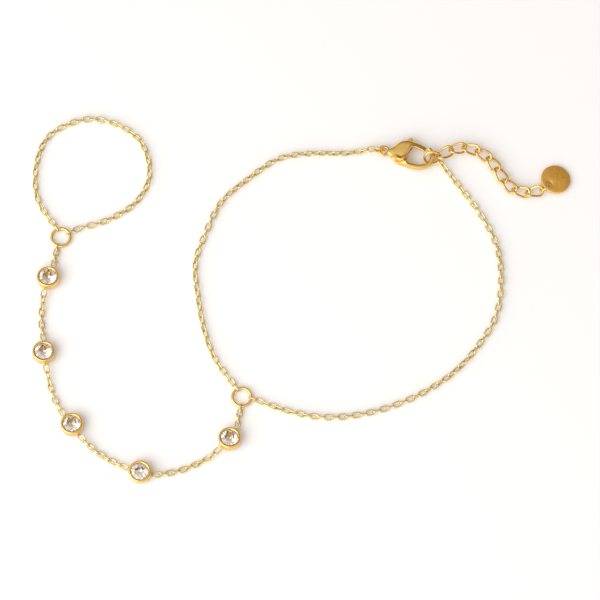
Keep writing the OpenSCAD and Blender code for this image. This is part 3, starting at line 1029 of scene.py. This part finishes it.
class BRACELET_OT_clasp_body(bpy.types.Operator):
    """Shape the clasp's body and hook with its eye, groove, lip and lever slot"""

    bl_idname = "bracelet.clasp_body"
    bl_label = "Clasp Body"

    def execute(self, context):
        sizes = context.scene.bracelet.clasp
        body = clasp_shell(sizes)
        pivot = clasp_point(sizes, *LEVER_PIVOT)
        slot_height = (sizes.lever + 2 * sizes.play) / MM
        reach = boss_radius(sizes) + sizes.play / MM
        low = Vector((pivot.x - reach, pivot.y - reach, -slot_height / 2))
        high = Vector((SLOT_END * sizes.length / MM, sizes.width / MM + low.y, slot_height / 2))
        clear_selection()
        bpy.ops.mesh.primitive_cube_add(size=1, location=(low + high) / 2, scale=high - low)
        cut(body, added("slot"))
        eye_radius = (sizes.eye - sizes.eye_wire) / 2 / MM
        cut(body, wire_ring("eye", eye_radius, sizes.eye_wire / MM, around=40, across=16), "UNION")
        pin_length = PIN_SHARE * sizes.thickness / MM
        cut(body, disc("pin", sizes.pin / 2 / MM, pin_length, pivot, sides=32), "UNION")
        body.name = "clasp_body_shell"
        dress(seat(body, clasp_place()), "polished_gold", ["clasp_body"], angle=50)
        return {"FINISHED"}


def clasp_place():
    """Matrix from the clasp's own plan to the frame, in millimetres."""
    return Matrix.Translation(CLASP_PLACE) @ turn(CLASP_TURN, "Z")


def boss_radius(sizes):
    """Radius of the lever's boss, in millimetres: pin, clearance and wall."""
    return (sizes.pin / 2 + sizes.play) / MM + BOSS_WALL


class BRACELET_OT_clasp_lever(bpy.types.Operator):
    """Shape the sprung lever with its boss, curved arm and thumb nub"""

    bl_idname = "bracelet.clasp_lever"
    bl_label = "Clasp Lever"

    def execute(self, context):
        sizes = context.scene.bracelet.clasp
        thick = sizes.lever / MM
        pivot = clasp_point(sizes, *LEVER_PIVOT)
        lever = lever_arm(sizes)
        soften(lever, sizes.taper / 2 * thick, segments=4)
        cut(lever, disc("boss", boss_radius(sizes), thick, pivot), "UNION")
        nub = disc("nub", sizes.nub / 2 / MM, thick, clasp_point(sizes, *NUB_MIDDLE))
        cut(lever, nub, "UNION")
        tip = clasp_point(sizes, *CLASP_ROWS[-1][2:4])
        reach = (tip - pivot).length - sizes.play / MM
        cut(lever, disc("reach", reach, 2 * thick, pivot, sides=256), "INTERSECT")
        cut(lever, disc("bore", (sizes.pin / 2 + sizes.play) / MM, 2 * thick, pivot, sides=48))
        soften(lever, LEVER_ROUNDING, segments=3, angle=60)
        lever.name = "clasp_lever_arm"
        dress(seat(lever, clasp_place()), "polished_gold", ["clasp_lever"], body="lever")
        return {"FINISHED"}


def lever_arm(sizes):
    """The lever's arm, a section that thins outwards, spun along the clasp's edge."""
    arm = sizes.arm / MM
    radius = ARM_RADIUS * sizes.length / MM
    centre = clasp_point(sizes, *ARM_CROWN) - Vector((0, radius, 0))
    clear_selection()
    bpy.ops.mesh.primitive_plane_add(size=1, rotation=(0, math.pi / 2, 0))
    lever = added("lever")
    lever.scale = (sizes.lever / MM, arm, 1)
    set_in_mesh()
    edit(lever)
    pick(lever, lambda place: place.y > 0)
    bpy.ops.transform.resize(value=(1, 1, sizes.taper))
    bpy.ops.object.mode_set(mode="OBJECT")
    start = math.radians(ARM_START)
    middle = Vector((math.cos(start), math.sin(start), 0)) * (radius - arm / 2)
    lever.matrix_world = Matrix.Translation(centre + middle) @ turn(ARM_START - 90, "Z")
    set_in_mesh()
    edit(lever)
    bpy.ops.mesh.spin(steps=24, angle=math.radians(ARM_SWEEP), center=centre, axis=(0, 0, 1))
    close_ends(lever)
    return lever


class BRACELET_OT_extender(bpy.types.Operator):
    """Lay the extender's twisted links"""

    bl_idname = "bracelet.extender"
    bl_label = "Extender Chain"

    def execute(self, context):
        sizes = context.scene.bracelet.chains
        link = round_link(
            "twisted_link",
            sizes.extender_length / MM,
            sizes.extender_width / MM,
            sizes.extender_wire / MM,
            sides=16,
            bend_steps=20,
        )
        for share, limits in EXTENDER_TWISTS:
            use(
                link,
                "SIMPLE_DEFORM",
                deform_method="TWIST",
                deform_axis="X",
                angle=share * sizes.extender_twist,
                limits=limits,
            )
        dress(chain_of(link, "extender_chain"), "polished_gold", ["extender_chain"], angle=60)
        bpy.data.objects.remove(link)
        return {"FINISHED"}


class BRACELET_OT_tag(bpy.types.Operator):
    """Punch the bare round tag, pierce its hole and soften its edges"""

    bl_idname = "bracelet.tag"
    bl_label = "Tag"

    def execute(self, context):
        sizes = context.scene.bracelet.tag
        radius = sizes.diameter / 2 / MM
        thick = sizes.thickness / MM
        lean = sizes.lean
        tag = disc("tag_disc", radius, thick, (0, 0), sides=128)
        hole_x = -(radius - (sizes.margin + sizes.hole / 2) / MM)
        cut(tag, disc("hole", sizes.hole / 2 / MM, 2 * thick, (hole_x, 0), sides=48))
        soften(tag, TAG_ROUNDING, segments=4, angle=40)
        height = radius * math.sin(lean) + thick / 2 * math.cos(lean)
        place = Matrix.Translation((*TAG_PLACE, height)) @ turn(TAG_TURN, "Z")
        dress(seat(tag, place @ Matrix.Rotation(lean, 4, "Y")), "satin_gold", ["tag"])
        return {"FINISHED"}


class BRACELET_OT_stage(bpy.types.Operator):
    """Set the floor, the soft light and the camera"""

    bl_idname = "bracelet.stage"
    bl_label = "Stage"

    def execute(self, context):
        settings = context.scene.bracelet.stage
        add_floor(settings)
        add_room_light(settings)
        add_key_light(settings)
        add_camera(settings)
        context.scene.view_settings.view_transform = "Standard"
        return {"FINISHED"}


def add_floor(settings):
    """A wide pale floor just under the bracelet."""
    clear_selection()
    bpy.ops.mesh.primitive_plane_add(size=3, location=(0, 0, -0.01 * MM))
    floor = added("floor")
    set_in_mesh()
    material, nodes, links = new_material("floor_paper")
    shader = nodes["Principled BSDF"]
    shader.inputs["Roughness"].default_value = 0.9
    shader.inputs["Specular IOR Level"].default_value = 0.1
    clouds = noise(nodes, links, object_millimetres(nodes, links), scale=0.02, detail=2)
    paper = blend(nodes, links, clouds, settings.floor, scaled(settings.floor, 1.01))
    links.new(paper, shader.inputs["Base Color"])
    floor.data.materials.append(material)


def add_room_light(settings):
    """Light from all round: bright at the front left, softer overhead, warm and dim behind."""
    world = bpy.data.worlds.new("Room")
    bpy.context.scene.world = world
    world.use_nodes = True
    nodes, links = world.node_tree.nodes, world.node_tree.links
    background = nodes["Background"]
    background.inputs["Strength"].default_value = settings.sky
    coordinates = nodes.new("ShaderNodeTexCoord")
    facing = nodes.new("ShaderNodeVectorMath")
    facing.operation = "DOT_PRODUCT"
    facing.inputs[1].default_value = Vector(ROOM_BRIGHTEST).normalized()
    share = nodes.new("ShaderNodeMath")
    share.operation = "MULTIPLY_ADD"
    share.inputs[1].default_value = 0.5
    share.inputs[2].default_value = 0.5
    colours = nodes.new("ShaderNodeValToRGB")
    stops = colours.color_ramp.elements
    stops.new(ROOM_COLOURS[1][0])
    for stop, (position, colour) in zip(stops, ROOM_COLOURS):
        stop.position = position
        stop.color = (*colour, 1)
    links.new(coordinates.outputs["Generated"], facing.inputs[0])
    links.new(facing.outputs["Value"], share.inputs[0])
    links.new(share.outputs["Value"], colours.inputs["Fac"])
    links.new(colours.outputs["Color"], background.inputs["Color"])


def looking(direction):
    """Turn of a lamp or camera that faces in a direction."""
    return direction.to_track_quat("-Z", "Y").to_euler()


def add_key_light(settings):
    """A square softbox at the front left that faces the bracelet."""
    clear_selection()
    bpy.ops.object.light_add(type="AREA", location=KEY_LIGHT_PLACE)
    light = bpy.context.active_object
    light.name = "Key Light"
    light.data.shape = "SQUARE"
    light.data.size = KEY_LIGHT_WIDTH
    light.data.energy = settings.key_power
    light.rotation_euler = looking(-Vector(KEY_LIGHT_PLACE))


def add_camera(settings):
    """The camera at the photograph's angle and scale."""
    distance = settings.lens / SENSOR * PICTURE * settings.pixel
    back = Vector((0, -math.cos(settings.elevation), math.sin(settings.elevation)))
    bpy.ops.object.camera_add(location=Vector(VIEW_MIDDLE) * MM + back * distance)
    camera = bpy.context.active_object
    camera.name = "Camera"
    camera.data.lens = settings.lens
    camera.data.sensor_width = SENSOR
    camera.data.clip_start = 0.01
    camera.data.clip_end = 10
    camera.rotation_euler = looking(-back)
    bpy.context.scene.camera = camera


class BRACELET_PT_sidebar(bpy.types.Panel):
    """Buttons for each piece of the bracelet, with its sizes and colours"""

    bl_idname = "BRACELET_PT_sidebar"
    bl_label = "Hand Chain Bracelet"
    bl_space_type = "VIEW_3D"
    bl_region_type = "UI"
    bl_category = "Bracelet"

    def draw(self, context):
        settings = context.scene.bracelet
        for title, group in (
            ("Chains", settings.chains),
            ("Bezels and Stones", settings.stones),
            ("Clasp", settings.clasp),
            ("Tag", settings.tag),
            ("Finishes", settings.finishes),
            ("Stage", settings.stage),
        ):
            box = self.layout.box()
            box.label(text=title)
            for name in group.bl_rna.properties.keys():
                if name not in ("rna_type", "name"):
                    box.prop(group, name)
        for operator in OPERATORS:
            self.layout.operator(operator.bl_idname)


OPERATORS = (
    BRACELET_OT_fine_chains,
    BRACELET_OT_rings,
    BRACELET_OT_bezels,
    BRACELET_OT_stones,
    BRACELET_OT_clasp_body,
    BRACELET_OT_clasp_lever,
    BRACELET_OT_extender,
    BRACELET_OT_tag,
    BRACELET_OT_stage,
)
CLASSES = (
    ChainSizes,
    StoneSizes,
    ClaspSizes,
    TagSizes,
    Finishes,
    StageSettings,
    BraceletSettings,
    *OPERATORS,
    BRACELET_PT_sidebar,
)


def register():
    """Registers the classes and gives every scene its bracelet settings."""
    for cls in CLASSES:
        bpy.utils.register_class(cls)
    bpy.types.Scene.bracelet = PointerProperty(
        type=BraceletSettings, name="Bracelet", description="Settings of the bracelet"
    )


def unregister():
    """Takes the settings and the classes away again."""
    del bpy.types.Scene.bracelet
    for cls in reversed(CLASSES):
        bpy.utils.unregister_class(cls)


def main():
    """Builds every piece in order."""
    register()
    bpy.ops.bracelet.fine_chains()
    bpy.ops.bracelet.rings()
    bpy.ops.bracelet.bezels()
    bpy.ops.bracelet.stones()
    bpy.ops.bracelet.clasp_body()
    bpy.ops.bracelet.clasp_lever()
    bpy.ops.bracelet.extender()
    bpy.ops.bracelet.tag()
    bpy.ops.bracelet.stage()


if __name__ == "__main__":
    main()
